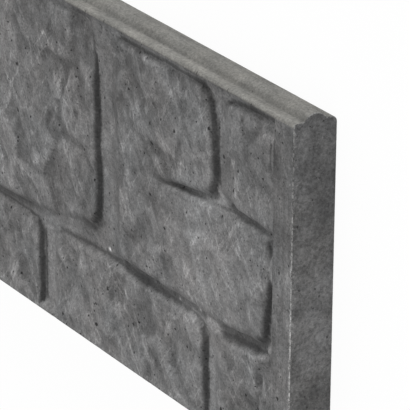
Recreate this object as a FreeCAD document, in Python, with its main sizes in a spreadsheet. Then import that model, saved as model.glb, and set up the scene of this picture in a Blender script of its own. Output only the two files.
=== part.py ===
# Concrete gravel board: one cast piece with an ashlar rock face, a rounded tongue along its top
# edge, a matching groove along its bottom edge and smooth end margins that slide into slotted posts.
# It lies on its plain back: X runs along the board, Y is up in use, Z points out of the rock face.
import FreeCAD, Part
import math
import os
import Sketcher

NODE = "gravel_board"

# Driving dimensions in millimetres and degrees
SIZES = {
    "board_length": 1840,
    "board_height": 360,
    "thickness": 48,
    "tongue_width": 24,
    "tongue_height": 7,
    "groove_side_clearance": 1,
    "groove_end_clearance": 1.5,
    "face_arris_radius": 4,
    "back_arris_radius": 6,
    "end_margin": 32,
    "top_rim": 4.5,
    "bottom_rim": 4.5,
    "rim_gap": 3.5,
    "joint_depth": 7,
    "perpend_width": 22,
    "bed_width": 8,
    "wall_draft": 18,
    "stone_setback": 0.6,
    "stone_corner_radius": 11,
    "stone_bevel": 2,
    "shortest_stone": 60,
    "lower_course": 115,
    "middle_course": 126,
}

# Stone lengths from joint to joint, counted from the +X end; the last stone of a run takes the rest
LOWER_STONES = {
    "lower_stone_1": 114.5,
    "lower_stone_2": 311,
    "lower_stone_3": 309,
    "lower_stone_4": 158,
    "lower_stone_5": 282,
    "lower_stone_6": 134,
    "lower_stone_7": 248,
}
BAYS = {
    "bay_1": 307.5,
    "bay_2": 294,
    "bay_3": 366,
    "bay_4": 243,
}

# Bays that are split into a middle and an upper run of stones; any other bay is one tall stone
SPLIT_BAYS = {
    0: ({}, {"upper_stone_1": 101.5}),
    2: ({"middle_stone_3": 262}, {"upper_stone_3": 193}),
    4: ({"middle_stone_5": 272}, {"upper_stone_5": 163, "upper_stone_6": 218}),
}

# Levels at which neighbouring stones stand, in steps of the stone setback
SETBACK_STEPS = 3

# Share of the bottom rim that stays below the lower stones, which run into it
RIM_BITE = 0.33

# Corners of a rectangle, anticlockwise; the lower stones round only the upper two
CORNERS = ("lower left", "lower right", "upper right", "upper left")
UPPER_CORNERS = ("upper right", "upper left")

# Distance under which two levels count as the same when edges are picked out
NEAR = 0.01

doc = FreeCAD.newDocument("gravel_board")
sheet = doc.addObject("Spreadsheet::Sheet", "sizes")


def fill_sheet():
    """Writes every driving dimension into the sheet, one aliased cell each."""
    cells = dict(SIZES)
    cells.update(LOWER_STONES)
    cells.update(BAYS)
    for middle, upper in SPLIT_BAYS.values():
        cells.update(middle)
        cells.update(upper)
    for row, (name, size) in enumerate(cells.items(), start=1):
        sheet.set(f"A{row}", name)
        sheet.set(f"B{row}", str(size))
        sheet.setAlias(f"B{row}", name)
    doc.recompute()


def size(formula):
    """Value of a formula on the sheet's cells, in millimetres."""
    return float(sheet.evalExpression(formula))


fill_sheet()
body = doc.addObject("PartDesign::Body", NODE)
body.Label = NODE
planes = {plane.Role: plane for plane in body.Origin.OriginFeatures}

# Formulas shared by the features
BOTTOM = "-(sizes.board_height + sizes.tongue_height) / 2"
GROOVE_WIDTH = "(sizes.tongue_width + 2 * sizes.groove_side_clearance)"
GROOVE_DEPTH = "(sizes.tongue_height + sizes.groove_end_clearance)"
FLOOR_LEVEL = "sizes.thickness - sizes.joint_depth"
HALF_PERPEND = "sizes.perpend_width / 2"
HALF_BED = "sizes.bed_width / 2"


def new_sketch(name, plane, level=None):
    """Sketch on one of the body's origin planes, raised to a level where one is given."""
    sketch = body.newObject("Sketcher::SketchObject", name)
    sketch.AttachmentSupport = (planes[plane], "")
    sketch.MapMode = "FlatFace"
    if level:
        sketch.setExpression("AttachmentOffset.Base.z", level)
    return sketch


def bind(sketch, kind, geometry, formula):
    """Adds a dimension to a sketch and ties it to a formula."""
    index = sketch.addConstraint(Sketcher.Constraint(kind, *geometry, size(formula)))
    sketch.setExpression(f"Constraints[{index}]", formula)


def join_in_ring(sketch, edges):
    """Joins the end of each edge to the start of the next; an edge is (geometry, start, end)."""
    for (geometry, _, end), (following, start, _) in zip(edges, edges[1:] + edges[:1]):
        sketch.addConstraint(Sketcher.Constraint("Coincident", geometry, end, following, start))


def corner_points(sides):
    """Corners of an upright rectangle by their names, from the formulas of its sides."""
    west, east, south, north = (size(formula) for formula in sides)
    places = ((west, south), (east, south), (east, north), (west, north))
    return {name: FreeCAD.Vector(x, y) for name, (x, y) in zip(CORNERS, places)}


def hold_sides(sketch, lines, sides):
    """Keeps the south, east, north and west lines upright and ties them to the sides' formulas."""
    left, right, bottom, top = sides
    for line, direction in zip(lines, ("Horizontal", "Vertical", "Horizontal", "Vertical")):
        sketch.addConstraint(Sketcher.Constraint(direction, line))
    bind(sketch, "DistanceY", (-1, 1, lines[0], 1), bottom)
    bind(sketch, "DistanceX", (-1, 1, lines[1], 1), right)
    bind(sketch, "DistanceY", (-1, 1, lines[2], 1), top)
    bind(sketch, "DistanceX", (-1, 1, lines[3], 1), left)


def rectangle(sketch, sides, corner_radius="0", rounded=()):
    """Upright rectangle with a quarter circle at each of the corners that are rounded."""
    corners = corner_points(sides)
    radius = size(corner_radius)
    quarter = math.pi / 2
    lines = []
    arcs = {}
    for side, (start, end) in enumerate(zip(CORNERS, CORNERS[1:] + CORNERS[:1])):
        along = (corners[end] - corners[start]).normalize()
        first = corners[start] + along * (radius if start in rounded else 0)
        last = corners[end] - along * (radius if end in rounded else 0)
        lines.append(sketch.addGeometry(Part.LineSegment(first, last)))
        if end in rounded:
            inward = FreeCAD.Vector(-along.y, along.x)
            circle = Part.Circle(last + inward * radius, FreeCAD.Vector(0, 0, 1), radius)
            arc = Part.ArcOfCircle(circle, (side - 1) * quarter, side * quarter)
            arcs[side] = sketch.addGeometry(arc)
    for side, (line, following) in enumerate(zip(lines, lines[1:] + lines[:1])):
        if side in arcs:
            sketch.addConstraint(Sketcher.Constraint("Tangent", line, 2, arcs[side], 1))
            sketch.addConstraint(Sketcher.Constraint("Tangent", arcs[side], 2, following, 1))
            bind(sketch, "Radius", (arcs[side],), corner_radius)
        else:
            sketch.addConstraint(Sketcher.Constraint("Coincident", line, 2, following, 1))
    hold_sides(sketch, lines, sides)


def bulge_arc(chord_low, chord_high, rise):
    """Arc from one end of an upright chord to the other that bulges by a rise towards +x."""
    crown = FreeCAD.Vector(chord_low.x + rise, (chord_low.y + chord_high.y) / 2)
    return Part.Arc(chord_low, crown, chord_high)


def radius_formula(chord, rise):
    """Formula of the radius of an arc with a given chord and rise."""
    return f"({chord} * {chord} / 4 + {rise} * {rise}) / (2 * {rise})"


def draw_section():
    """Section of the board: tongue on the top edge, groove in the bottom edge."""
    sketch = new_sketch("section", "YZ_Plane")
    bottom = size(BOTTOM)
    top = bottom + size("sizes.board_height")
    front = size("sizes.thickness")
    half_tongue = size("sizes.tongue_width / 2")
    half_groove = size(f"{GROOVE_WIDTH} / 2")

    def point(y, z):
        return FreeCAD.Vector(y, z)

    back_bottom = point(bottom, 0)
    back_top = point(top, 0)
    tongue_back = point(top, front / 2 - half_tongue)
    tongue_front = point(top, front / 2 + half_tongue)
    front_top = point(top, front)
    front_bottom = point(bottom, front)
    groove_front = point(bottom, front / 2 + half_groove)
    groove_back = point(bottom, front / 2 - half_groove)

    back = sketch.addGeometry(Part.LineSegment(back_bottom, back_top))
    back_shoulder = sketch.addGeometry(Part.LineSegment(back_top, tongue_back))
    tongue = sketch.addGeometry(bulge_arc(tongue_back, tongue_front, size("sizes.tongue_height")))
    front_shoulder = sketch.addGeometry(Part.LineSegment(tongue_front, front_top))
    face = sketch.addGeometry(Part.LineSegment(front_top, front_bottom))
    front_foot = sketch.addGeometry(Part.LineSegment(front_bottom, groove_front))
    groove = sketch.addGeometry(bulge_arc(groove_back, groove_front, size(GROOVE_DEPTH)))
    back_foot = sketch.addGeometry(Part.LineSegment(groove_back, back_bottom))

    join_in_ring(sketch, [
        (back, 1, 2), (back_shoulder, 1, 2), (tongue, 1, 2), (front_shoulder, 1, 2),
        (face, 1, 2), (front_foot, 1, 2), (groove, 2, 1), (back_foot, 1, 2),
    ])
    for line in (back, face):
        sketch.addConstraint(Sketcher.Constraint("Horizontal", line))
    for line in (back_shoulder, front_shoulder, front_foot, back_foot):
        sketch.addConstraint(Sketcher.Constraint("Vertical", line))
    sketch.addConstraint(Sketcher.Constraint("Equal", back_shoulder, front_shoulder))
    sketch.addConstraint(Sketcher.Constraint("Equal", front_foot, back_foot))
    sketch.addConstraint(Sketcher.Constraint("PointOnObject", back, 1, -1))
    bind(sketch, "DistanceX", (-1, 1, back, 1), BOTTOM)
    bind(sketch, "DistanceX", (back, 1, back, 2), "sizes.board_height")
    bind(sketch, "DistanceY", (back, 1, front_foot, 1), "sizes.thickness")
    bind(sketch, "DistanceY", (tongue, 1, tongue, 2), "sizes.tongue_width")
    bind(sketch, "DistanceY", (groove, 1, groove, 2), GROOVE_WIDTH)
    bind(sketch, "Radius", (tongue,), radius_formula("sizes.tongue_width", "sizes.tongue_height"))
    bind(sketch, "Radius", (groove,), radius_formula(GROOVE_WIDTH, GROOVE_DEPTH))
    return sketch


def cast_slab():
    """Pads the section along the board's length."""
    slab = body.newObject("PartDesign::Pad", "slab")
    slab.Profile = draw_section()
    slab.Midplane = True
    slab.setExpression("Length", "sizes.board_length")
    doc.recompute()


def dress_edges(kind, name, dimension, formula, chosen):
    """Fillets or chamfers the edges of the body's shape that a test picks out."""
    base = body.Tip
    edges = [f"Edge{index}" for index, edge in enumerate(base.Shape.Edges, start=1) if chosen(edge)]
    dressing = body.newObject(kind, name)
    dressing.Base = (base, edges)
    dressing.setExpression(dimension, formula)
    doc.recompute()


def is_long(box):
    """Whether an edge runs along the board."""
    return box.XLength > size("sizes.board_length") - NEAR


def is_back_arris(edge):
    """Outer corner edges along the board's back."""
    return is_long(edge.BoundBox) and edge.BoundBox.ZMax < NEAR


def is_face_arris(edge):
    """Outer corner edges along the board's face."""
    return is_long(edge.BoundBox) and edge.BoundBox.ZMin > size("sizes.thickness") - NEAR


def sink_joints():
    """Sinks the rock field to the floor of the joints, inside the end margins and the rims."""
    sketch = new_sketch("rock_field", "XY_Plane", "sizes.thickness")
    half_field = "(sizes.board_length / 2 - sizes.end_margin)"
    bottom = f"{BOTTOM} + sizes.bottom_rim"
    top = f"{BOTTOM} + sizes.board_height - sizes.top_rim"
    rectangle(sketch, (f"-{half_field}", half_field, bottom, top))
    pocket = body.newObject("PartDesign::Pocket", "joint_floor")
    pocket.Profile = sketch
    pocket.setExpression("Length", "sizes.joint_depth")
    pocket.setExpression("TaperAngle", "-sizes.wall_draft")
    doc.recompute()


def runs(start, end, lengths):
    """Splits a run between two distances into stones; the last one takes what is left."""
    cuts = [start]
    for name in lengths:
        cut = f"{cuts[-1]} + sizes.{name}"
        if size(f"{end} - ({cut})") < size("sizes.shortest_stone"):
            break
        cuts.append(cut)
    cuts.append(end)
    return list(zip(cuts, cuts[1:]))


def stone_layout():
    """Stones as ((start, end) from the +X end, (low, high) from the bottom edge), in formulas."""
    start = f"sizes.end_margin + sizes.rim_gap - {HALF_PERPEND}"
    end = f"sizes.board_length - ({start})"
    low = f"sizes.bottom_rim * {RIM_BITE} - {HALF_BED}"
    high = f"sizes.board_height - sizes.top_rim - sizes.rim_gap + {HALF_BED}"
    lower, *upper_courses = runs(low, high, {"lower_course": 0, "middle_course": 0})
    stones = [(run, lower) for run in runs(start, end, LOWER_STONES)]
    for index, (bay_start, bay_end) in enumerate(runs(start, end, BAYS)):
        if index not in SPLIT_BAYS:
            stones.append(((bay_start, bay_end), (upper_courses[0][0], upper_courses[-1][1])))
            continue
        for course, lengths in zip(upper_courses, SPLIT_BAYS[index]):
            stones += [(run, course) for run in runs(bay_start, bay_end, lengths)]
    return stones


def raise_stone(number, run, course):
    """Pads one stone from the joint floor, with drafted walls, to its own level."""
    sketch = new_sketch(f"stone_outline_{number}", "XY_Plane", FLOOR_LEVEL)
    left = f"sizes.board_length / 2 - ({run[1]} - {HALF_PERPEND})"
    right = f"sizes.board_length / 2 - ({run[0]} + {HALF_PERPEND})"
    bottom = f"{BOTTOM} + {course[0]} + {HALF_BED}"
    top = f"{BOTTOM} + {course[1]} - {HALF_BED}"
    rounded = UPPER_CORNERS if size(bottom) < size(f"{BOTTOM} + sizes.bottom_rim") else CORNERS
    rectangle(sketch, (left, right, bottom, top), "sizes.stone_corner_radius", rounded)
    stone = body.newObject("PartDesign::Pad", f"stone_{number}")
    stone.Profile = sketch
    steps = 1 + number % SETBACK_STEPS
    stone.setExpression("Length", f"sizes.joint_depth - {steps} * sizes.stone_setback")
    stone.setExpression("TaperAngle", "-sizes.wall_draft")


def is_stone_rim(edge):
    """Free edges around the faces of the stones, not those where the lower stones meet the rim."""
    box = edge.BoundBox
    half_way = size(f"{FLOOR_LEVEL} + sizes.joint_depth / 2")
    between_levels = half_way < box.ZMin and box.ZMax < size("sizes.thickness") - NEAR
    rim_foot = size(f"{BOTTOM} + sizes.bottom_rim") + size("sizes.stone_corner_radius")
    return box.ZLength < NEAR and between_levels and box.YMax > rim_foot


def check_model():
    """Stops before anything is written if a feature failed or the solid is not whole."""
    for item in doc.Objects:
        if "Invalid" in item.State or "Error" in item.State:
            raise RuntimeError(f"{item.Name} failed: {item.State}")
    shape = body.Shape
    if shape.isNull() or not shape.isValid() or len(shape.Solids) != 1:
        raise RuntimeError("the board is not one valid solid")


cast_slab()
dress_edges("PartDesign::Fillet", "back_arrises", "Radius", "sizes.back_arris_radius", is_back_arris)
dress_edges("PartDesign::Fillet", "face_arrises", "Radius", "sizes.face_arris_radius", is_face_arris)
sink_joints()
for number, (run, course) in enumerate(stone_layout()):
    raise_stone(number, run, course)
doc.recompute()
dress_edges("PartDesign::Chamfer", "stone_bevels", "Size", "sizes.stone_bevel", is_stone_rim)
check_model()

os.makedirs("parts", exist_ok=True)
body.Shape.exportStep(f"parts/{NODE}.step")
print(NODE, "volume", round(body.Shape.Volume / 1e6, 3), "litres", body.Shape.BoundBox)
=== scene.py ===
# Looks of the concrete gravel board: the cast slab with its split-stone face, smooth mortar joints, worn
# arrises and weathered concrete, lying on a pale floor in soft studio light.
import math

import bmesh
import bpy
import numpy as np
from mathutils import Matrix, Quaternion, Vector, noise


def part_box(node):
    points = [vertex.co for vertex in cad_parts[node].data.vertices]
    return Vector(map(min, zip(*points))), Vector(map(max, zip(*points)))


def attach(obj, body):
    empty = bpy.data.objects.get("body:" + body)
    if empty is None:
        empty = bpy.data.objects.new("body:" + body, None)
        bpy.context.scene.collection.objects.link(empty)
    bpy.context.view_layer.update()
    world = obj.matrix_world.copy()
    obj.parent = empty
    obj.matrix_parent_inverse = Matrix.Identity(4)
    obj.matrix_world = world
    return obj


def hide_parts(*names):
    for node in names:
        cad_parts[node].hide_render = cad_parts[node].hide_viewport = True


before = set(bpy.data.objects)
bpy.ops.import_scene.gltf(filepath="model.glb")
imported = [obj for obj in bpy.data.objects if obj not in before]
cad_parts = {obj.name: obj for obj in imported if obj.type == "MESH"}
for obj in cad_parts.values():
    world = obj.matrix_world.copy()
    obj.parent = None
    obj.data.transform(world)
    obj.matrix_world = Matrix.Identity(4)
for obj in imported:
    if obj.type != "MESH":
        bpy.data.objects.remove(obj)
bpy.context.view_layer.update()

NODE = "gravel_board"
MM = 0.001

# Outer sizes of the board, in millimetres, from the frame
board_low, board_high = (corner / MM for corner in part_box(NODE))
NEAR_END = board_high.x
FAR_END = board_low.x
BOTTOM = board_low.y
CROWN = board_high.y
FRONT = board_high.z
LENGTH = NEAR_END - FAR_END

# Section, in millimetres
BOARD_HEIGHT = 360.0
TONGUE_WIDTH = 24.0
GROOVE_WIDTH = 26.0
GROOVE_DEPTH = 8.5
FACE_ARRIS = 4.0
FOOT_ARRIS = 1.0
BACK_ARRIS = 6.0
END_ARRIS = 1.0
SHOULDER = BOTTOM + BOARD_HEIGHT
TONGUE_HEIGHT = CROWN - SHOULDER
TONGUE_CENTRE = FRONT / 2
TONGUE_FRONT = TONGUE_CENTRE + TONGUE_WIDTH / 2
TONGUE_BACK = TONGUE_CENTRE - TONGUE_WIDTH / 2
GROOVE_FRONT = TONGUE_CENTRE + GROOVE_WIDTH / 2
GROOVE_BACK = TONGUE_CENTRE - GROOVE_WIDTH / 2

# Rock face, in millimetres: its borders and joints, and how far back the stones sit in three levels
END_MARGIN = 32.0
TOP_RIM = 4.5
BOTTOM_RIM = 7.5
RIM_WALL = 1.2
JOINT_DEPTH = 7.5
SHALLOWEST_JOINT = 0.8
STONE_RECESS = 0.5
STONE_SETBACK = 0.3
STONE_LEVELS = 3
LEAST_RECESS = 0.1

# Random slopes of the stones, how much flatter they are at the bottom edge and how soon that fades above it,
# in millimetres, and the seed of every random draw
STONE_TILT = 0.004
FOOT_FLATTENING = 0.7
FOOT_REACH = 8.0
SEED = 23

# Sides of a stone, in millimetres outside and inside its arris: steep all round, apart from the side towards
# the far end, which ramps gently out of the mortar. The ramp sets in as a side turns that way.
STEEP_FOOT = 0.6
STEEP_ROUNDING = 7.0
RAMP_FOOT = 16.0
RAMP_ROUNDING = 12.0
RAMP_FROM = 0.3
RAMP_SPAN = 0.4

# Painted shade on the walls of a stone: on its underside, on the side towards the near end, and over which
# part of the wall's height it fades out
UNDERSIDE_SHADE = 0.3
NEAR_SIDE_SHADE = 1.6
SHADE_TOP = 1.06
SHADE_FADE = 0.35
SHADE_FOOT = 0.05

# Reach of the painted shade on the mortar below a stone or the top rim, and in the crease above a stone
SHADE_REACH = 10.0
CREASE_REACH = 5.0

# Strength of the shade on the mortar, below the top rim and on the walls of the borders
MORTAR_SHADE = 0.85
TOP_RIM_SHADE = 0.25
RIM_WALL_SHADE = 0.45

# Depths of joint over which painted shade sets in on border walls, stone walls and mortar, as (start, span)
RIM_WALL_SHADE_DEPTHS = (0.0, 4.0)
WALL_SHADE_DEPTHS = (2.0, 3.0)
SHADE_DEPTHS = (2.5, 3.0)

# Unevenness, in millimetres: broad waves and fine ripples of the outlines, along and up, and of the mortar
RUN_WAVE = 0.8
RUN_RIPPLE = 0.5
RISE_WAVE = 1.2
RISE_RIPPLE = 0.7
MORTAR_WAVE = 0.6
MORTAR_RIPPLE = 0.15

# Height below which the joints run out into the bottom rim, with no shade
RUN_OUT = 20.0

# Split stone: spread of the tilts and levels of its broken planes, and how sharply they part
PLANE_TILT = 0.042
PLANE_LEVEL = 0.45
PLANE_SHARPNESS = 9.0

# Relief of the split stone, in millimetres
WANDER = 7.0
BROAD_PLANES = 1.4
SMALL_PLANES = 0.7
SPLINTERS = 0.35
GRIT = 0.2
FLAKES = 0.6
CHIPS = 0.35

# Noise over which a flake and a chip break away, as (start, span)
FLAKE_EDGE = (0.25, 0.12)
CHIP_EDGE = (0.3, 0.15)

# Height of a full crest over its neighbours, in millimetres, and how many points away they are
CREST_HEIGHT = 0.6
CREST_REACH = 4

# Heights of the bed joints, and how a stone beyond the photographed stretch sits between its joints
LOWER_BED = 112.5
MIDDLE_BED = 238.5
TOP_BED = 356.0
BELOW_EDGE = -20.0
HALF_PERPEND = 13.0
HALF_BED = 5.0
CORNER_CUT = 7.0

# Outlines of the stones that the photo shows, as (distance from the near end, height above the bottom edge)
SHOWN_STONES = {
    "tall": [
        (358, 342), (354, 288), (348.5, 205), (347.8, 162), (350, 142), (360, 131), (463, 112), (525, 107),
        (606, 106), (614, 342), (606, 348), (364, 348),
    ],
    "upper_long": [
        (149, 339), (143, 332), (138.2, 315), (134.6, 295), (133, 275), (133, 259), (136, 246), (145, 239.5),
        (185, 232.5), (221, 226), (260, 219.5), (307, 215), (315, 224), (318, 338), (311, 346), (160, 346),
    ],
    "upper_end": [(20, 237), (20, 348), (83, 346), (110, 344), (117, 338), (116, 250), (111, 243), (98, 240)],
    "middle": [
        (45, 127), (36, 188), (31, 227), (38, 232.5), (60, 234.5), (170, 230.5), (221, 225.5), (306, 217),
        (313, 212), (312, 121), (304, 113), (180, 112.5), (112, 112.8), (56, 118.8),
    ],
    "lower_far": [(465.5, 88), (464, -20), (746, -20), (746, 89), (739, 96), (474, 98)],
    "lower_long": [
        (149, 88), (148, -20), (434, -20), (434, 92), (424, 101), (343, 104), (168, 101.5), (157, 97.5),
    ],
    "lower_end": [(20, -20), (20, 115.3), (118, 98.5), (128, 91), (129, -20)],
}

# Stones further along: joints along the board in each course
FAR_LOWER = [759.0, 917.0, 1199.0, 1333.0, 1581.0, 1815.5]
FAR_MIDDLE = [[626.0, 888.0, 992.0], [1235.0, 1507.0, 1815.5]]
FAR_UPPER = [[626.0, 819.0, 992.0], [1235.0, 1398.0, 1616.0, 1815.5]]
FAR_TALL = [992.0, 1235.0]

# Places where the mortar fills a joint: (run, rise, half length, half height, fill)
FILLED_JOINTS = [
    (290, 217, 62, 14, 6.0), (350, 345, 16, 32, 5.2), (475, 351, 118, 9, 4.6), (395, 123, 38, 10, 4.5),
    (510, 103, 60, 9, 2.5), (440, 110, 36, 12, 4.0), (138, 107, 16, 12, 5.8), (33, 203, 7, 17, 10.0),
    (44, 233, 42, 9, 3.3), (230, 352, 110, 9, 1.8), (36, 117, 8, 6, 7.0), (245, 221, 20, 10, 4.5),
    (140, 232, 30, 9, 3.6), (128, 285, 9, 40, 1.6),
]

# Pale lime bloom on the stones, below zero where they are darker: (run, rise, radius, strength)
BLOOMS = [
    (150, 178, 80, 0.58), (290, 55, 60, 0.08), (118, 318, 13, 0.2), (302, 277, 9, 0.35),
    (300, 320, 50, -0.25), (250, 150, 40, -0.12), (470, 260, 90, 0.05), (215, 275, 50, -0.11),
    (336, 112, 1.8, 5.0), (166, 111, 1.6, 5.0), (203, 108, 1.4, 3.0),
]

# Corners that broke away from a stone: (run, rise, radius, depth)
BROKEN_CORNERS = [
    (349, 352, 46, 4.5), (315, 332, 26, 1.6), (198, 111, 34, 2.4), (465, 99, 20, 1.5), (37, 223, 7, 3.0),
]

# Scars in the stones: (run, rise) of both ends, half width and depth; a ridge has a depth below zero
SCARS = [
    ((410, 282), (424, 236), 4.0, 1.7), ((393, 263), (399, 250), 2.5, 1.3),
    ((388, 244), (395, 223), 2.5, 1.4), ((443, 222), (446, 208), 6.0, 1.5),
    ((396, 205), (352, 219), 2.0, 1.3), ((389, 282), (399, 251), 2.0, -0.7),
    ((283, 268), (260, 256), 3.5, 1.3), ((465, 316), (416, 247), 7.0, -0.9),
    ((262, 327), (258, 288), 4.0, -0.8), ((311, 205), (311, 128), 3.0, 0.8),
    ((236, 134), (150, 112), 12.0, 0.9), ((37.5, 327), (37.5, 301), 1.6, 2.5),
]

# Painted shade in the joints and in dents of the stones: (run, rise) of both ends, half width and strength
SHADE_LINES = [
    ((425, 103.5), (312, 107.5), 3.0, 0.75), ((300, 107.5), (185, 104.0), 4.5, 1.05),
    ((62, 110.5), (118, 103), 5.5, 1.1), ((408, 285), (418, 247), 3.0, 0.4),
    ((441, 229), (446, 214), 4.0, 0.4), ((393, 255), (396, 228), 2.2, 0.3),
    ((373, 328), (375, 320), 3.5, 0.4), ((447, 292), (441, 271), 3.0, 0.25),
    ((424, 180), (422, 159), 3.0, 0.3), ((283, 263), (262, 259), 2.5, 0.35),
    ((412, 134), (411, 130), 2.0, 0.6), ((32.4, 350), (32.4, 236), 1.3, 0.35),
    ((131.5, 255), (136, 316), 2.5, 1.0), ((463, 86), (461.5, 13), 2.8, 1.0),
    ((40, 228), (38, 215), 3.4, 0.95),
]

# Face rows and length stations as (end of the stretch, largest step)
FACE_ROWS = [
    (14, 1.7), (94, 3.2), (116, 1.3), (220, 3.2), (248, 1.3), (340, 3.2), (BOARD_HEIGHT - FACE_ARRIS, 0.9),
]
NEAR_STATIONS = [
    (6, 3.0), (30, 5.0), (50, 1.3), (130, 2.6), (160, 1.2), (338, 2.6), (358, 1.1), (452, 2.6), (474, 1.2),
    (580, 2.8),
]
JOINT_STEP = 4.0
JOINT_REACH = 16.0
FAR_STEP = 12.0

# Largest steps round the rest of the section, and the points round each of its curves
LIP_STEP = 2.7
BACK_LIP_STEP = 3.0
BACK_STEP = 90.0
BOTTOM_STEP = 5.0
TOP_ARRIS_POINTS = 4
BACK_FOOT_POINTS = 3
FOOT_POINTS = 2
TONGUE_POINTS = 11
GROOVE_POINTS = 8

# Distance within which two points are one
TOUCHING = 0.01

# Noise: gap between its layers, and how its octaves fall off and step up
LAYER_GAP = 7.31
OCTAVE_FALL = 0.9
OCTAVE_STEP = 2.0

# Weathering: sizes of roughness and chips in millimetres, where in the noise chips lie and set in, and depths
# in millimetres of a chip, of the plain skin and of the arrises
ROUGH_SIZE = 14.0
CHIP_SIZE = 11.0
CHIP_SHIFT = Vector((0, 0, 40.0))
CHIP_START = 0.18
CHIP_DEPTH = 2.6
SKIN_WEAR = 0.1
SKIN_ROUGHNESS = 0.1
ARRIS_WEAR = 0.1
ARRIS_ROUGHNESS = 0.25
LEAST_WEAR = 0.01

# Share of that wear in the back half, and the lift from which a place counts as stone and keeps its relief
BACK_SHARE = 0.3
ON_STONE = 0.2

# Distances, in millimetres, over which wear fades from an arris, specks from an end and painted shade
# from the foot of the tongue, and the share of that painted shade behind the tongue
WEAR_FADE = 3.0
SPECK_FADE = 2.2
FRONT_FOOT_SHADE_FADE = 3.5
BACK_FOOT_SHADE_FADE = 2.5
BACK_FOOT_SHADE = 0.5

# Marks that the board's points carry for its finishes
MARKS = ("stone", "shade", "crest", "bloom", "wear", "nick")

# Finishes in the order of the board's material slots, and how squarely a cap or its rim faces along the board
ROCK_FACE, EDGE, END_CAP, END_RIM = range(4)
CAP_FACING = 0.99
RIM_FACING = 0.2

# Cool and warm grey of each finish, and the gloss that all of them share
FACE_GREYS = ((0.130, 0.131, 0.132), (0.134, 0.131, 0.130))
EDGE_GREYS = ((0.149, 0.147, 0.138), (0.149, 0.145, 0.134))
END_GREYS = ((0.118, 0.118, 0.119), (0.120, 0.118, 0.116))
RIM_GREYS = ((0.150, 0.150, 0.149), (0.152, 0.150, 0.148))
CONCRETE_ROUGHNESS = 0.85
CONCRETE_SPECULAR = 0.3

# Turns, in degrees, that lay a flat pattern on the long edges and on the ends
ON_EDGES = (90.0, 0.0, 0.0)
ON_ENDS = (0.0, 90.0, 0.0)

# Floor and surround: colour in the light, share of plain white that the camera sees, light of the surround
FLOOR_GREY = (0.86, 0.86, 0.86, 1.0)
WHITE_SHARE = 0.95
SURROUND_LIGHT = 0.9


def climb(values, start, span):
    """0 up to a start, 1 from a span beyond it, and straight between."""
    return np.clip((values - start) / span, 0.0, 1.0)


def cloud(run, rise, size, layer, octaves=1, lean=0.0, stretch=1.0):
    """Smooth noise, about -1 to 1, in features of a size; lean and stretch draw them out one way."""
    across = (run * math.cos(lean) + rise * math.sin(lean)) / size
    along = (rise * math.cos(lean) - run * math.sin(lean)) / (size * stretch)
    points = zip(across.ravel().tolist(), along.ravel().tolist())
    values = [noise.fractal((u, v, layer * LAYER_GAP), OCTAVE_FALL, OCTAVE_STEP, octaves) for u, v in points]
    return np.array(values).reshape(run.shape)


def stone_sides(outline, run, rise):
    """How far each place is lifted onto a stone, 0 to 1, and the painted shade on its walls and beside it."""
    centre_run, centre_rise = np.mean(outline, axis=0)
    lift = np.ones(run.shape)
    wall_shade = np.zeros(run.shape)
    gap = np.full(run.shape, -LENGTH)
    beside = np.zeros(run.shape)
    for (run_a, rise_a), (run_b, rise_b) in zip(outline, outline[1:] + outline[:1]):
        edge = math.hypot(run_b - run_a, rise_b - rise_a)
        out_run = (rise_b - rise_a) / edge
        out_rise = (run_a - run_b) / edge
        if (centre_run - run_a) * out_run + (centre_rise - rise_a) * out_rise > 0:
            out_run, out_rise = -out_run, -out_rise
        inside = (run_a - run) * out_run + (rise_a - rise) * out_rise

        # Wall of this side, and the painted shade on it
        steep = min(1.0, max(0.0, 1.0 - (out_run - RAMP_FROM) / RAMP_SPAN))
        foot = RAMP_FOOT + (STEEP_FOOT - RAMP_FOOT) * steep
        rounding = RAMP_ROUNDING + (STEEP_ROUNDING - RAMP_ROUNDING) * steep
        share = climb(inside, -foot, foot + rounding)
        wall = 1.0 - (1.0 - share) ** 2
        ramp = share ** 2 * (3.0 - 2.0 * share)
        side = steep * wall + (1.0 - steep) * ramp
        facing_shade = min(1.0, max(UNDERSIDE_SHADE * (out_rise < 0.0), -out_run * NEAR_SIDE_SHADE))
        side_shade = facing_shade * np.clip((SHADE_TOP - wall) / SHADE_FADE, 0.0, 1.0) * climb(share, 0.0, SHADE_FOOT)
        wall_shade = np.where(side < lift, side_shade, wall_shade)
        lift = np.minimum(lift, side)

        # Shade beside a side that lies along a bed joint: full for half its reach, then fading
        reach = CREASE_REACH if out_rise > 0.0 else SHADE_REACH
        along_bed = min(1.0, max(0.0, abs(out_rise) * 1.5 - 0.3))
        shade = along_bed * np.clip(2.0 + 2.0 * inside / reach, 0.0, 1.0)
        beside = np.where(-inside > np.maximum(gap, 0.0), shade, beside)
        gap = np.maximum(gap, -inside)
    return lift, wall_shade, beside


def plain_stone(start, end, low, high):
    """Outline of a stone between two perpend joints and two beds, with its corners cut."""
    left = start + HALF_PERPEND
    right = end - HALF_PERPEND
    foot = low + HALF_BED
    head = high - HALF_BED
    return [
        (left + CORNER_CUT, foot), (right - CORNER_CUT, foot), (right, foot + CORNER_CUT),
        (right, head - CORNER_CUT), (right - CORNER_CUT, head), (left + CORNER_CUT, head),
        (left, head - CORNER_CUT), (left, foot + CORNER_CUT),
    ]


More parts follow.
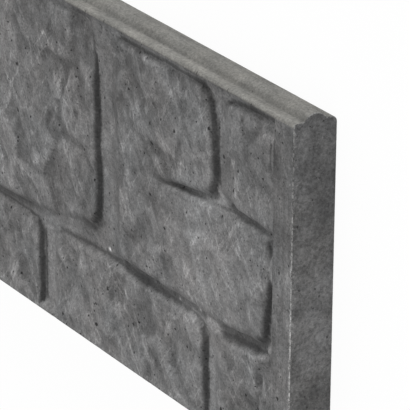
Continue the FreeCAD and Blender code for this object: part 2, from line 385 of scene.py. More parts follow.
def stone_outlines():
    """Outlines of the photographed stones, of the rim below them and of the stones further along."""
    outlines = list(SHOWN_STONES.values())
    outlines.append([
        (END_MARGIN, BELOW_EDGE), (LENGTH - END_MARGIN, BELOW_EDGE),
        (LENGTH - END_MARGIN, BOTTOM_RIM), (END_MARGIN, BOTTOM_RIM),
    ])
    courses = [(FAR_LOWER, BELOW_EDGE, LOWER_BED), (FAR_TALL, LOWER_BED, TOP_BED)]
    courses += [(joints, LOWER_BED, MIDDLE_BED) for joints in FAR_MIDDLE]
    courses += [(joints, MIDDLE_BED, TOP_BED) for joints in FAR_UPPER]
    for joints, low, high in courses:
        outlines += [plain_stone(start, end, low, high) for start, end in zip(joints, joints[1:])]
    return outlines


def broken_planes(run, rise, size, dice):
    """Planes about as wide as a size, meeting in soft ridges; each tilts its own way."""
    columns = int(LENGTH / size) + 4
    rows = int(BOARD_HEIGHT / size) + 4
    place = dice.uniform(0.1, 0.9, (2, columns, rows))
    tilt = dice.normal(0.0, PLANE_TILT, (2, columns, rows))
    level = dice.normal(0.0, PLANE_LEVEL, (columns, rows))
    cell_run = np.floor(run / size).astype(int)
    cell_rise = np.floor(rise / size).astype(int)
    total = np.zeros(run.shape)
    weight = np.zeros(run.shape)
    for step_run in (-1, 0, 1):
        for step_rise in (-1, 0, 1):
            column = np.clip(cell_run + step_run + 1, 0, columns - 1)
            row = np.clip(cell_rise + step_rise + 1, 0, rows - 1)
            away_run = run - (cell_run + step_run + place[0][column, row]) * size
            away_rise = rise - (cell_rise + step_rise + place[1][column, row]) * size
            share = np.exp(-PLANE_SHARPNESS * (away_run ** 2 + away_rise ** 2) / size ** 2)
            plane = level[column, row] + tilt[0][column, row] * away_run + tilt[1][column, row] * away_rise
            total += share * plane
            weight += share
    return total / weight


def split_stone(run, rise, dice):
    """Relief of split stone: broken planes, leaning splinters, grit, flakes and chips."""
    wander_run = run + WANDER * cloud(run, rise, size=38, layer=11, octaves=2)
    wander_rise = rise + WANDER * cloud(run, rise, size=38, layer=12, octaves=2)
    relief = BROAD_PLANES * broken_planes(wander_run, wander_rise, size=50, dice=dice)
    relief += SMALL_PLANES * broken_planes(wander_run, wander_rise, size=22, dice=dice)
    relief += SPLINTERS * cloud(run, rise, size=11, layer=13, octaves=3, lean=0.6, stretch=3.0)
    relief += GRIT * cloud(run, rise, size=7, layer=14, octaves=2)
    flaking = cloud(run, rise, size=15, layer=15, octaves=3, lean=-0.7, stretch=3.5)
    chipping = cloud(run, rise, size=8, layer=16, octaves=2, lean=0.6, stretch=2.5)
    return relief - FLAKES * climb(flaking, *FLAKE_EDGE) - CHIPS * climb(chipping, *CHIP_EDGE)


def distance_to(start, end, run, rise):
    """Distance of each place from a straight line between two points."""
    along_run = end[0] - start[0]
    along_rise = end[1] - start[1]
    length = math.hypot(along_run, along_rise)
    share = ((run - start[0]) * along_run + (rise - start[1]) * along_rise) / length ** 2
    share = np.clip(share, 0.0, 1.0)
    return np.hypot(run - start[0] - share * along_run, rise - start[1] - share * along_rise)


def box_blur(grid, reach):
    """Mean of a grid over a square of neighbours."""
    for axis in (0, 1):
        padded = np.pad(grid, [(reach, reach) if axis == side else (0, 0) for side in (0, 1)], mode="edge")
        sums = np.cumsum(padded, axis=axis)
        zero = np.zeros_like(np.take(sums, [0], axis=axis))
        sums = np.concatenate([zero, sums], axis=axis)
        count = grid.shape[axis]
        high = np.take(sums, np.arange(count) + 2 * reach + 1, axis=axis)
        low = np.take(sums, np.arange(count), axis=axis)
        grid = (high - low) / (2 * reach + 1)
    return grid


def mortar_floor(run, rise):
    """Level of the mortar in the joints, uneven and filled up in places."""
    floor = -JOINT_DEPTH + MORTAR_WAVE * cloud(run, rise, size=55, layer=5)
    floor = floor + MORTAR_RIPPLE * cloud(run, rise, size=14, layer=6)
    for place_run, place_rise, half_run, half_rise, fill in FILLED_JOINTS:
        spread = ((run - place_run) / half_run) ** 2 + ((rise - place_rise) / half_rise) ** 2
        floor = floor + fill * np.exp(-spread)
    return np.minimum(floor, -SHALLOWEST_JOINT)


def damaged_stone(run, rise, warp_run, warp_rise, dice):
    """Relief of split stone with its broken corners, scars and ridges."""
    cleft = split_stone(run, rise, dice)
    for place_run, place_rise, radius, depth in BROKEN_CORNERS:
        spread = ((run - place_run) ** 2 + (rise - place_rise) ** 2) / radius ** 2
        cleft = cleft - depth * np.exp(-spread)
    for start, end, width, depth in SCARS:
        cleft = cleft - depth * np.exp(-(distance_to(start, end, warp_run, warp_rise) / width) ** 2)
    return cleft


def lime_bloom(run, rise):
    """Lime bloom of each place, below zero where the concrete is darker."""
    bloom = np.zeros(run.shape)
    for place_run, place_rise, radius, strength in BLOOMS:
        spread = ((run - place_run) ** 2 + (rise - place_rise) ** 2) / radius ** 2
        bloom += strength * np.exp(-spread)
    return bloom


def rock_face(run, rise):
    """Level of the face below its plane, and its marks: stone, painted shade, crest and lime bloom."""
    dice = np.random.default_rng(SEED)
    warp_run = run + RUN_WAVE * cloud(run, rise, size=30, layer=1)
    warp_run = warp_run + RUN_RIPPLE * cloud(run, rise, size=9, layer=2)
    warp_rise = rise + RISE_WAVE * cloud(run, rise, size=30, layer=3)
    warp_rise = warp_rise + RISE_RIPPLE * cloud(run, rise, size=9, layer=4)
    floor = mortar_floor(run, rise)
    cleft = damaged_stone(run, rise, warp_run, warp_rise, dice)

    # Margins and top rim, with the mortar between them
    below_rim = BOARD_HEIGHT - TOP_RIM - rise
    into_field = np.minimum(np.minimum(run - END_MARGIN, LENGTH - END_MARGIN - run), below_rim)
    rim = 1.0 - climb(into_field, 0.0, RIM_WALL)
    level = floor * (1.0 - rim)
    stone_share = np.zeros(run.shape)
    # Painted shade on the walls of the borders, and on the mortar below the top rim
    shade = RIM_WALL_SHADE * rim * (rim < 1.0) * climb(-floor, *RIM_WALL_SHADE_DEPTHS)
    overhang = TOP_RIM_SHADE * np.clip(1.5 - 1.5 * below_rim / SHADE_REACH, 0.0, 1.0)

    # Stones, each tilted a little, where they stand higher than what is there
    for number, outline in enumerate(stone_outlines()):
        lift, wall_shade, beside = stone_sides(outline, warp_run, warp_rise)
        overhang = np.maximum(overhang, beside * (rise > RUN_OUT))
        tilt_run, tilt_rise = dice.normal(0.0, STONE_TILT, 2)
        centre_run, centre_rise = np.mean(outline, axis=0)
        top = cleft - STONE_RECESS - STONE_SETBACK * (number % STONE_LEVELS)
        top = top + tilt_run * (run - centre_run) + tilt_rise * (rise - centre_rise)
        top = top * (1.0 - FOOT_FLATTENING * np.exp(-rise / FOOT_REACH))
        raised = floor + (np.minimum(top, -LEAST_RECESS) - floor) * lift
        higher = (raised > level) & (rim < 1.0)
        level = np.where(higher, raised, level)
        stone_share = np.where(higher, lift, stone_share)
        # Painted shade on the walls of the stone, where the joint is deep
        shade = np.where(higher, wall_shade * climb(-floor, *WALL_SHADE_DEPTHS), shade)
    level = np.minimum(level, 0.0)

    # Painted shade in the joints and dents, and the crests of the stones
    deep = climb(-level, *SHADE_DEPTHS)
    shade = np.maximum(shade, MORTAR_SHADE * overhang * deep * (rim == 0.0))
    for start, end, width, strength in SHADE_LINES:
        away = distance_to(start, end, warp_run, warp_rise) / width
        shade = np.maximum(shade, strength * np.exp(-away ** 2))
    # Crests of the stones: the face finish makes them paler on the crests and, as painted shade, darker in
    # hollows
    crest = np.clip((cleft - box_blur(cleft, CREST_REACH)) / CREST_HEIGHT, -1.0, 1.0) * stone_share
    bloom = lime_bloom(warp_run, warp_rise)
    return level, {"stone": stone_share, "shade": shade, "crest": crest, "bloom": bloom}


def walk(bm, geom, step, length, largest):
    """Draws points or edges out in even steps no larger than a size; returns what it ends on."""
    count = max(1, math.ceil(length / largest - 1e-6))
    move = Vector(step) * (length / count)
    made = bmesh.ops.spin(bm, geom=geom, cent=(0, 0, 0), axis=(1, 0, 0), dvec=move, angle=0.0, steps=count)
    return made["geom_last"]


def turn(bm, geom, centre_y, centre_z, degrees, count):
    """Draws points or edges round a centre in the plane of the section; returns what it ends on."""
    centre = (NEAR_END, centre_y, centre_z)
    angle = math.radians(degrees)
    made = bmesh.ops.spin(bm, geom=geom, cent=centre, axis=(1, 0, 0), angle=angle, steps=count)
    return made["geom_last"]


def arch(width, height):
    """Radius of an arch and the degrees it turns through."""
    radius = (width ** 2 / 4 + height ** 2) / (2 * height)
    return radius, 2 * math.degrees(math.asin(width / 2 / radius))


def stations():
    """Stretches along the board as (length, largest step): fine where the photo looks and at the joints."""
    stretches = list(NEAR_STATIONS)
    joints = set(FAR_LOWER + FAR_TALL + sum(FAR_MIDDLE, []) + sum(FAR_UPPER, []))
    for joint in sorted(joints):
        start = joint - JOINT_REACH
        if start > stretches[-1][0]:
            stretches.append((start, FAR_STEP))
        stretches.append((min(joint + JOINT_REACH, LENGTH - END_ARRIS * 2), JOINT_STEP))
    stretches.append((LENGTH, FAR_STEP))
    lengths = []
    reached = 0.0
    for end, step in stretches:
        if end > reached:
            lengths.append((end - reached, step))
            reached = end
    return lengths


def draw_length(bm):
    """Line along the foot of the face, from the near end to the far end, with a point at each station."""
    tip = bmesh.ops.create_vert(bm, co=(NEAR_END, BOTTOM + FOOT_ARRIS, FRONT))["vert"]
    for length, step in stations():
        tip = walk(bm, tip, (-1, 0, 0), length, step)
    return bm.verts[:] + bm.edges[:]


def sweep_section(bm, line):
    """Sweeps the line round the section: up the face, over the tongue, down the back, through the groove."""
    inner_front = FRONT - FACE_ARRIS
    risen = FOOT_ARRIS
    for reach, step in FACE_ROWS:
        line = walk(bm, line, (0, 1, 0), reach - risen, step)
        risen = reach
    line = turn(bm, line, SHOULDER - FACE_ARRIS, inner_front, -90, TOP_ARRIS_POINTS)
    line = walk(bm, line, (0, 0, -1), inner_front - TONGUE_FRONT, LIP_STEP)
    radius, sweep = arch(TONGUE_WIDTH, TONGUE_HEIGHT)
    line = turn(bm, line, CROWN - radius, TONGUE_CENTRE, -sweep, TONGUE_POINTS)
    line = walk(bm, line, (0, 0, -1), TONGUE_BACK - BACK_ARRIS, BACK_LIP_STEP)
    line = turn(bm, line, SHOULDER - BACK_ARRIS, BACK_ARRIS, -90, TOP_ARRIS_POINTS)
    line = walk(bm, line, (0, -1, 0), BOARD_HEIGHT - 2 * BACK_ARRIS, BACK_STEP)
    line = turn(bm, line, BOTTOM + BACK_ARRIS, BACK_ARRIS, -90, BACK_FOOT_POINTS)
    line = walk(bm, line, (0, 0, 1), GROOVE_BACK - BACK_ARRIS, BOTTOM_STEP)
    radius, sweep = arch(GROOVE_WIDTH, GROOVE_DEPTH)
    line = turn(bm, line, BOTTOM + GROOVE_DEPTH - radius, TONGUE_CENTRE, sweep, GROOVE_POINTS)
    line = walk(bm, line, (0, 0, 1), FRONT - FOOT_ARRIS - GROOVE_FRONT, BOTTOM_STEP)
    turn(bm, line, BOTTOM + FOOT_ARRIS, FRONT - FOOT_ARRIS, -90, FOOT_POINTS)
    bmesh.ops.remove_doubles(bm, verts=bm.verts[:], dist=TOUCHING)


def cast_board(bm):
    """Sweeps the board's skin, closes both ends and rounds their rims."""
    sweep_section(bm, draw_length(bm))
    rims = [edge for edge in bm.edges if edge.is_boundary]
    bmesh.ops.edgeloop_fill(bm, edges=rims)
    bmesh.ops.bevel(
        bm, geom=rims, offset=END_ARRIS, offset_type="OFFSET", segments=2, profile=0.5,
        affect="EDGES", material=-1, clamp_overlap=False,
    )
    bmesh.ops.recalc_face_normals(bm, faces=bm.faces[:])


def carve_face(bm, layers):
    """Sinks the points of the face to the rock face and marks them; the lip below follows its foot."""
    points = [vert for vert in bm.verts if abs(vert.co.z - FRONT) < TOUCHING]
    places = np.array([vert.co[:2] for vert in points])
    columns, column = np.unique(places[:, 0].round(2), return_inverse=True)
    rows, row = np.unique(places[:, 1].round(2), return_inverse=True)
    run, rise = np.meshgrid(NEAR_END - columns, rows - BOTTOM, indexing="ij")
    level, marks = rock_face(run, rise)
    for vert, i, j in zip(points, column, row):
        vert.co.z += level[i, j]
        for name, mark in marks.items():
            vert[layers[name]] = mark[i, j]
    foot_levels = dict(zip(columns, level[:, 0]))
    for vert in bm.verts:
        place = round(vert.co.x, 2)
        below = vert.co.y < BOTTOM + FOOT_ARRIS - TOUCHING and vert.co.z > GROOVE_FRONT + TOUCHING
        if below and place in foot_levels:
            if vert.co.z > FRONT - FOOT_ARRIS - TOUCHING:
                vert[layers["stone"]] = 1.0
                points.append(vert)
            vert.co.z += foot_levels[place] * (vert.co.z - GROOVE_FRONT) / (FRONT - GROOVE_FRONT)
    return set(points)


def closeness_to_arris(place):
    """1 on an outer arris of the board, falling off within a few millimetres."""
    gaps = sorted((
        min(place.z, FRONT - place.z),
        min(abs(place.y - BOTTOM), abs(place.y - SHOULDER)),
        min(place.x - FAR_END, NEAR_END - place.x),
    ))
    return math.exp(-gaps[1] / WEAR_FADE)


def closeness_to_tongue_foot(place):
    """1 in the front corner at the foot of the tongue, where painted shade falls, and less in the back one.
    """
    front_gap = math.hypot(place.y - SHOULDER, place.z - TONGUE_FRONT)
    back_gap = math.hypot(place.y - SHOULDER, place.z - TONGUE_BACK)
    return math.exp(-front_gap / FRONT_FOOT_SHADE_FADE) + BACK_FOOT_SHADE * math.exp(-back_gap / BACK_FOOT_SHADE_FADE)


def weather(bm, layers, face_points):
    """Wears arrises and plain sides inward, unevenly, and marks the wear."""
    bm.normal_update()
    inward = {}
    for vert in bm.verts:
        place = vert.co
        wear = closeness_to_arris(place)
        rough = noise.fractal(place / ROUGH_SIZE, OCTAVE_FALL, OCTAVE_STEP, 3)
        chip = max(0.0, noise.noise(place / CHIP_SIZE + CHIP_SHIFT) - CHIP_START)
        on_arris = ARRIS_WEAR + ARRIS_ROUGHNESS * rough + CHIP_DEPTH * chip
        depth = SKIN_WEAR + SKIN_ROUGHNESS * rough + wear * on_arris
        if vert in face_points and vert[layers["stone"]] > ON_STONE:
            depth = 0.0
        if place.z < TONGUE_CENTRE:
            depth *= BACK_SHARE
        inward[vert] = vert.normal * max(LEAST_WEAR, depth)
        vert[layers["wear"]] = wear * (0.6 + 0.6 * rough)
        vert[layers["nick"]] = math.exp(-min(place.x - FAR_END, NEAR_END - place.x) / SPECK_FADE)
        # Painted shade in the corners at the foot of the tongue, off the rock face
        if vert not in face_points:
            vert[layers["shade"]] = closeness_to_tongue_foot(place)
    for vert, move in inward.items():
        vert.co -= move


def make_board():
    """The board as one closed mesh in metres, with its marks and its four finishes."""
    bm = bmesh.new()
    layers = {name: bm.verts.layers.float.new(name) for name in MARKS}
    cast_board(bm)
    face_points = carve_face(bm, layers)
    finishes = [face_concrete(), edge_concrete(), end_concrete(), arris_concrete()]
    bm.normal_update()
    for face in bm.faces:
        facing = abs(face.normal.x)
        face.smooth = facing < CAP_FACING
        if all(vert in face_points for vert in face.verts):
            face.material_index = ROCK_FACE
        elif facing > CAP_FACING:
            face.material_index = END_CAP
        elif facing > RIM_FACING:
            face.material_index = END_RIM
        else:
            face.material_index = EDGE
    weather(bm, layers, face_points)
    bmesh.ops.transform(bm, matrix=Matrix.Scale(MM, 4), verts=bm.verts[:])
    mesh = bpy.data.meshes.new("gravel_board_cast")
    bm.to_mesh(mesh)
    bm.free()
    for finish in finishes:
        mesh.materials.append(finish)
    board = bpy.data.objects.new("gravel_board_cast", mesh)
    bpy.context.scene.collection.objects.link(board)
    return board


class Finish:
    """A material under construction, with short ways to add nodes and link them."""

    def __init__(self, name):
        self.material = bpy.data.materials.new(name)
        self.material.use_nodes = True
        self.tree = self.material.node_tree
        self.shader = self.tree.nodes["Principled BSDF"]
        self.place = self.add("ShaderNodeTexCoord").outputs["Object"]

    def add(self, kind, **settings):
        """A new node with its settings."""
        node = self.tree.nodes.new(kind)
        for name, value in settings.items():
            setattr(node, name, value)
        return node

    def feed(self, socket, value):
        """Links another node's output to a socket, or sets the socket to a plain value."""
        if isinstance(value, bpy.types.NodeSocket):
            self.tree.links.new(value, socket)
        else:
            socket.default_value = value

    def mark(self, name):
        """One of the marks on the board's points."""
        return self.add("ShaderNodeAttribute", attribute_name=name).outputs["Fac"]

    def place_along(self, axis):
        """Place along one axis, in metres."""
        node = self.add("ShaderNodeSeparateXYZ")
        self.feed(node.inputs["Vector"], self.place)
        return node.outputs[axis]

    def math(self, operation, first, second=0.0, clamp=False):
        """Result of one operation on two values."""
        node = self.add("ShaderNodeMath", operation=operation, use_clamp=clamp)
        self.feed(node.inputs[0], first)
        self.feed(node.inputs[1], second)
        return node.outputs[0]

    def times(self, *shares):
        """Product of several shares."""
        total = shares[0]
        for share in shares[1:]:
            total = self.math("MULTIPLY", total, share)
        return total

    def spread(self, value, low, high, to_low, to_high):
        """Maps a value from one range to another and stops at its ends."""
        node = self.add("ShaderNodeMapRange")
        self.feed(node.inputs["Value"], value)
        for name, number in zip(("From Min", "From Max", "To Min", "To Max"), (low, high, to_low, to_high)):
            node.inputs[name].default_value = number
        return node.outputs["Result"]

    def vary(self, grain, dark, light):
        """A tone from dark to light over the usual range of a grain."""
        return self.spread(grain, 0.3, 0.7, dark, light)

    def where(self, share, gain):
        """1 where a share is nothing, and a gain where it is full."""
        return self.spread(share, 0.0, 1.0, 1.0, gain)

    def grain(self, size, detail=3.0, rough=0.6, place=None):
        """Noise with features of a size in millimetres, 0 to 1."""
        node = self.add("ShaderNodeTexNoise")
        self.feed(node.inputs["Vector"], place or self.place)
        node.inputs["Scale"].default_value = 1.0 / (size * MM)
        node.inputs["Detail"].default_value = detail
        node.inputs["Roughness"].default_value = rough
        return node.outputs["Fac"]

    def drawn_out(self, turn, stretch):
        """Place turned about Z and stretched, for grain that runs one way."""
        node = self.add("ShaderNodeMapping", vector_type="TEXTURE")
        self.feed(node.inputs["Vector"], self.place)
        node.inputs["Rotation"].default_value = (0.0, 0.0, math.radians(turn))
        node.inputs["Scale"].default_value = stretch
        return node.outputs["Vector"]

    def veins(self, size, turn, width, gain):
        """Light winding lines about a size apart, drawn out along a turned direction, in patches."""
        waves = self.grain(size, 3.0, 0.5, self.drawn_out(turn, (1.0, 5.0, 1.0)))
        away = self.math("ABSOLUTE", self.math("SUBTRACT", waves, 0.5))
        line = self.spread(away, 0.0, width, 1.0, 0.0)
        patch = self.spread(self.grain(size * 1.7, 2.0, 0.5), 0.38, 0.6, 0.0, 1.0)
        on_stone = self.math("MAXIMUM", self.mark("stone"), 0.5)
        return self.where(self.times(line, patch, on_stone), gain)

    def spots(self, size, radius, share, turn=(0.0, 0.0, 0.0)):
        """1 inside round spots up to a radius, in a share of the cells of a size on a turned plane."""
        sway = self.add("ShaderNodeTexNoise")
        self.feed(sway.inputs["Vector"], self.place)
        sway.inputs["Scale"].default_value = 0.7 / (radius * MM)
        moved = self.add("ShaderNodeVectorMath", operation="MULTIPLY_ADD")
        self.feed(moved.inputs[0], sway.outputs["Color"])
        moved.inputs[1].default_value = [1.5 * radius * MM] * 3
        self.feed(moved.inputs[2], self.place)
        flat = self.add("ShaderNodeMapping")
        self.feed(flat.inputs["Vector"], moved.outputs["Vector"])
        flat.inputs["Rotation"].default_value = [math.radians(angle) for angle in turn]
        node = self.add("ShaderNodeTexVoronoi", voronoi_dimensions="2D")
        self.feed(node.inputs["Vector"], flat.outputs["Vector"])
        node.inputs["Scale"].default_value = 1.0 / (size * MM)
        reach = self.spread(node.outputs["Color"], 1.0 - share, 1.0, 0.0, radius / size)
        inner = self.math("SUBTRACT", reach, node.outputs["Distance"])
        return self.math("MULTIPLY", inner, size / radius * 3.0, clamp=True)

    def low_down(self, least):
        """1 on the lower half of the board, falling to a least share towards its shoulders."""
        low = (BOTTOM + 0.5 * BOARD_HEIGHT) * MM
        high = (BOTTOM + 0.75 * BOARD_HEIGHT) * MM
        return self.spread(self.place_along("Y"), low, high, 1.0, least)

    def broken_arris(self, gain):
        """Brightens the arrises of the ends in broken specks."""
        specks = self.spread(self.grain(4, 4.0, 0.7), 0.4, 0.58, 0.1, 1.0)
        return self.spread(self.times(self.mark("nick"), specks, self.low_down(0.5)), 0.2, 0.9, 1.0, gain)

    def tint(self, tone, cool, warm):
        """A grey tone times a colour that drifts between a cool and a warm one."""
        drift = self.add("ShaderNodeMix", data_type="RGBA")
        self.feed(drift.inputs["Factor"], self.spread(self.grain(60, 3.0), 0.35, 0.65, 0.0, 1.0))
        drift.inputs["A"].default_value = (*cool, 1.0)
        drift.inputs["B"].default_value = (*warm, 1.0)
        node = self.add("ShaderNodeMix", data_type="RGBA", blend_type="MULTIPLY")
        node.inputs["Factor"].default_value = 1.0
        self.feed(node.inputs["A"], tone)
        self.feed(node.inputs["B"], drift.outputs["Result"])
        return node.outputs["Result"]

    def relief(self, height, distance, strength):
        """Fine relief, with the height's full range a distance in millimetres."""
        node = self.add("ShaderNodeBump")
        node.inputs["Strength"].default_value = strength
        node.inputs["Distance"].default_value = distance * MM
        self.feed(node.inputs["Height"], height)
        self.feed(self.shader.inputs["Normal"], node.outputs["Normal"])

    def done(self, colour):
        """The finished material, in a colour and with the gloss of concrete."""
        self.feed(self.shader.inputs["Base Color"], colour)
        self.shader.inputs["Roughness"].default_value = CONCRETE_ROUGHNESS
        self.shader.inputs["Specular IOR Level"].default_value = CONCRETE_SPECULAR
        return self.material


def face_concrete():
    """Dark cast concrete of the rock face: mottled, veined, pitted, with painted shade in the joints and the
    pits.
    """
    finish = Finish("rock_face_concrete")
    edge = (NEAR_END - END_MARGIN) * MM
    margin = finish.spread(finish.math("ABSOLUTE", finish.place_along("X")), edge - MM, edge, 0.0, 1.0)
    upright = finish.drawn_out(0, (1.0, 8.0, 1.0))
    leaning = finish.drawn_out(40, (1.0, 4.0, 1.0))
    streaks = finish.vary(finish.grain(5, 3.0, 0.6, upright), 0.76, 1.24)
    patches = finish.spread(finish.grain(70, 2.0), 0.35, 0.65, 0.8, 1.2)
    pits = finish.math("MAXIMUM", finish.spots(26, 3.0, 0.45), finish.spots(9, 1.8, 0.4))
    mottle = finish.times(
        finish.vary(finish.grain(110, 2.0), 0.76, 1.24),
        finish.vary(finish.grain(38, 3.0), 0.9, 1.1),
        finish.vary(finish.grain(16, 4.0, 0.6, leaning), 0.82, 1.18),
        finish.spread(finish.grain(7, 4.0, 0.6), 0.3, 0.6, 0.78, 1.1),
        # Paler on the crests, and darker in the hollows as painted shade
        finish.spread(finish.mark("crest"), -1.0, 1.0, 0.75, 1.2),
    )
    tone = finish.times(
        finish.math("POWER", mottle, finish.spread(finish.mark("bloom"), 0.0, 0.6, 1.0, 0.65)),
        finish.vary(finish.grain(2.2, 3.0, 0.7), 0.68, 1.32),
        finish.veins(26, 38, 0.02, 1.6),
        finish.veins(20, -32, 0.02, 1.5),
        finish.veins(10, 15, 0.03, 1.4),
        # Painted shade in the joints, on the walls of the stones and in their dents
        finish.where(finish.mark("shade"), 0.31),
        finish.math("POWER", finish.times(streaks, patches), margin),
        finish.where(margin, 0.645),
        finish.spread(finish.mark("stone"), 0.0, 0.3, 1.31, 1.0),
        finish.spread(finish.mark("bloom"), -0.5, 5.0, 0.5, 6.0),
        finish.spread(finish.grain(3.2, 2.0, 0.5), 0.6, 0.72, 1.0, 0.6),
        finish.where(finish.spots(36, 1.2, 0.3), 1.6),
        # Pits darkened as painted shade
        finish.where(pits, 0.12),
        finish.broken_arris(3.4),
    )
    grit = finish.math("MULTIPLY", finish.grain(2.6, 4.0, 0.7), 0.35)
    height = finish.math("ADD", grit, finish.math("MULTIPLY", finish.grain(8, 3.0), 0.8))
    height = finish.math("SUBTRACT", height, finish.math("MULTIPLY", pits, finish.mark("stone")))
    finish.relief(height, 1.3, 0.9)
    return finish.done(finish.tint(tone, *FACE_GREYS))


def edge_concrete():
    """Smoother, paler concrete of the tongue, the lips, the back and the groove."""
    finish = Finish("edge_concrete")
    along = finish.drawn_out(0, (8.0, 1.0, 1.0))
    pits = finish.spots(12, 1.3, 0.5, ON_EDGES)
    front_lip = finish.spread(finish.place_along("Z"), TONGUE_FRONT * MM - MM, TONGUE_FRONT * MM, 0.84, 1.0)
    tone = finish.times(
        front_lip,
        finish.vary(finish.grain(30, 4.0), 0.86, 1.14),
        finish.vary(finish.grain(7, 4.0, 0.6, along), 0.82, 1.18),
        finish.vary(finish.grain(2.4, 4.0, 0.7), 0.62, 1.36),
        # Painted shade in the corners at the foot of the tongue
        finish.where(finish.mark("shade"), 0.62),
        # Pits darkened as painted shade
        finish.where(pits, 0.4),
    )
    height = finish.math("SUBTRACT", finish.grain(3.0, 4.0, 0.7), pits)
    finish.relief(height, 0.8, 0.8)
    return finish.done(finish.tint(tone, *EDGE_GREYS))


def end_concrete():
    """Mottled dark concrete of the two ends, darkest towards the top, flecked along the front."""
    finish = Finish("end_concrete")
    pits = finish.spots(11, 1.7, 0.5, ON_ENDS)
    front = finish.spread(finish.place_along("Z"), (FRONT - 7.0) * MM, FRONT * MM, 0.0, 1.0)
    flecks = finish.spread(finish.grain(3.2, 3.0, 0.6), 0.54, 0.64, 0.0, 1.0)
    tone = finish.times(
        finish.spread(finish.place_along("Y"), BOTTOM * MM, SHOULDER * MM, 1.1, 0.77),
        finish.vary(finish.grain(50, 2.0), 0.78, 1.22),
        finish.vary(finish.grain(16, 5.0, 0.65), 0.68, 1.32),
        finish.vary(finish.grain(2.8, 4.0, 0.7), 0.5, 1.5),
        finish.spread(finish.mark("wear"), 0.1, 0.8, 1.0, 1.2),
        # Pits darkened as painted shade
        finish.where(pits, 0.4),
        finish.where(finish.spots(22, 1.2, 0.4, ON_ENDS), 1.5),
        finish.where(finish.times(front, flecks), 2.0),
    )
    height = finish.math("SUBTRACT", finish.grain(3.5, 4.0, 0.7), pits)
    finish.relief(height, 1.0, 0.9)
    return finish.done(finish.tint(tone, *END_GREYS))


def arris_concrete():
    """Worn pale rim round the two ends, broken into specks, plainer over the tongue."""
    finish = Finish("arris_concrete")
    tone = finish.times(
        finish.spread(finish.place_along("Y"), (SHOULDER - 8.0) * MM, SHOULDER * MM, 1.0, 0.6),
        finish.low_down(0.55),
        finish.spread(finish.grain(26, 3.0), 0.35, 0.65, 0.7, 1.3),
        finish.spread(finish.grain(3.0, 4.0, 0.7), 0.4, 0.58, 0.9, 3.0),
    )
    finish.relief(finish.grain(3.0, 4.0, 0.7), 0.8, 0.8)
    return finish.done(finish.tint(tone, *RIM_GREYS))


def seen_directly(tree):
    """1 for rays that come straight or by a mirror or glass from the camera."""
    path = tree.nodes.new("ShaderNodeLightPath")
    total = path.outputs["Is Camera Ray"]
    for name in ("Is Glossy Ray", "Is Transmission Ray"):
        node = tree.nodes.new("ShaderNodeMath")
        node.operation = "MAXIMUM"
        tree.links.new(total, node.inputs[0])
        tree.links.new(path.outputs[name], node.inputs[1])
        total = node.outputs[0]
    return total


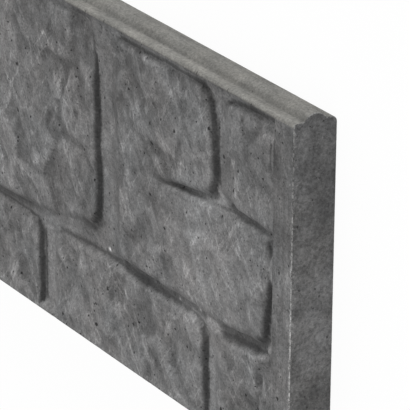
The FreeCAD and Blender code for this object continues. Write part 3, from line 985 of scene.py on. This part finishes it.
def lay_floor():
    """Pale floor that shows white and keeps a soft shadow."""
    bm = bmesh.new()
    bmesh.ops.create_grid(bm, x_segments=1, y_segments=1, size=60.0)
    mesh = bpy.data.meshes.new("floor")
    bm.to_mesh(mesh)
    bm.free()
    material = bpy.data.materials.new("pale_floor")
    material.use_nodes = True
    tree = material.node_tree
    tree.nodes.clear()
    lit = tree.nodes.new("ShaderNodeBsdfDiffuse")
    lit.inputs["Color"].default_value = FLOOR_GREY
    white = tree.nodes.new("ShaderNodeEmission")
    white.inputs["Strength"].default_value = 1.0
    share = tree.nodes.new("ShaderNodeMath")
    share.operation = "MULTIPLY"
    share.inputs[1].default_value = WHITE_SHARE
    tree.links.new(seen_directly(tree), share.inputs[0])
    mix = tree.nodes.new("ShaderNodeMixShader")
    tree.links.new(share.outputs[0], mix.inputs["Fac"])
    tree.links.new(lit.outputs["BSDF"], mix.inputs[1])
    tree.links.new(white.outputs["Emission"], mix.inputs[2])
    output = tree.nodes.new("ShaderNodeOutputMaterial")
    tree.links.new(mix.outputs["Shader"], output.inputs["Surface"])
    mesh.materials.append(material)
    floor = bpy.data.objects.new("floor", mesh)
    bpy.context.scene.collection.objects.link(floor)


def hang_sun(name, towards, strength, width):
    """Distant soft lamp that shines from a direction; its width is in degrees."""
    lamp = bpy.data.lights.new(name, "SUN")
    lamp.energy = strength
    lamp.angle = math.radians(width)
    holder = bpy.data.objects.new(name, lamp)
    holder.rotation_mode = "QUATERNION"
    holder.rotation_quaternion = Vector(towards).to_track_quat("Z", "Y")
    bpy.context.scene.collection.objects.link(holder)


def light_studio():
    """Soft lamp over the board's top edge and an even white surround."""
    hang_sun("overhead_soft", towards=(-0.15, 0.97, 0.18), strength=2.8, width=25)
    world = bpy.data.worlds.new("surround")
    world.use_nodes = True
    tree = world.node_tree
    backdrop = tree.nodes["Background"]
    backdrop.inputs["Color"].default_value = (1.0, 1.0, 1.0, 1.0)
    strength = tree.nodes.new("ShaderNodeMapRange")
    strength.inputs["To Min"].default_value = SURROUND_LIGHT
    strength.inputs["To Max"].default_value = 1.0
    tree.links.new(seen_directly(tree), strength.inputs["Value"])
    tree.links.new(strength.outputs["Result"], backdrop.inputs["Strength"])
    bpy.context.scene.world = world


def set_camera():
    """Long lens that looks down on the near end, rolled so that the tongue lies towards the top."""
    aim = Vector((0.77087, 0.04464, 0.04752))
    distance = 3.50093
    azimuth = math.radians(116.30)
    elevation = math.radians(30.02)
    roll = math.radians(-103.39)
    back = Vector((
        math.sin(azimuth) * math.cos(elevation),
        -math.cos(azimuth) * math.cos(elevation),
        math.sin(elevation),
    ))
    lens = bpy.data.cameras.new("camera")
    lens.lens = 321.86
    lens.sensor_width = 36.0
    lens.clip_end = 100.0
    camera = bpy.data.objects.new("camera", lens)
    camera.location = aim + back * distance
    camera.rotation_mode = "QUATERNION"
    camera.rotation_quaternion = (-back).to_track_quat("-Z", "Y") @ Quaternion((0.0, 0.0, 1.0), roll)
    bpy.context.scene.collection.objects.link(camera)
    bpy.context.scene.camera = camera


board = make_board()
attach(board, "root")
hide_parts(NODE)
lay_floor()
light_studio()
set_camera()
bpy.context.scene.view_settings.view_transform = "Standard"
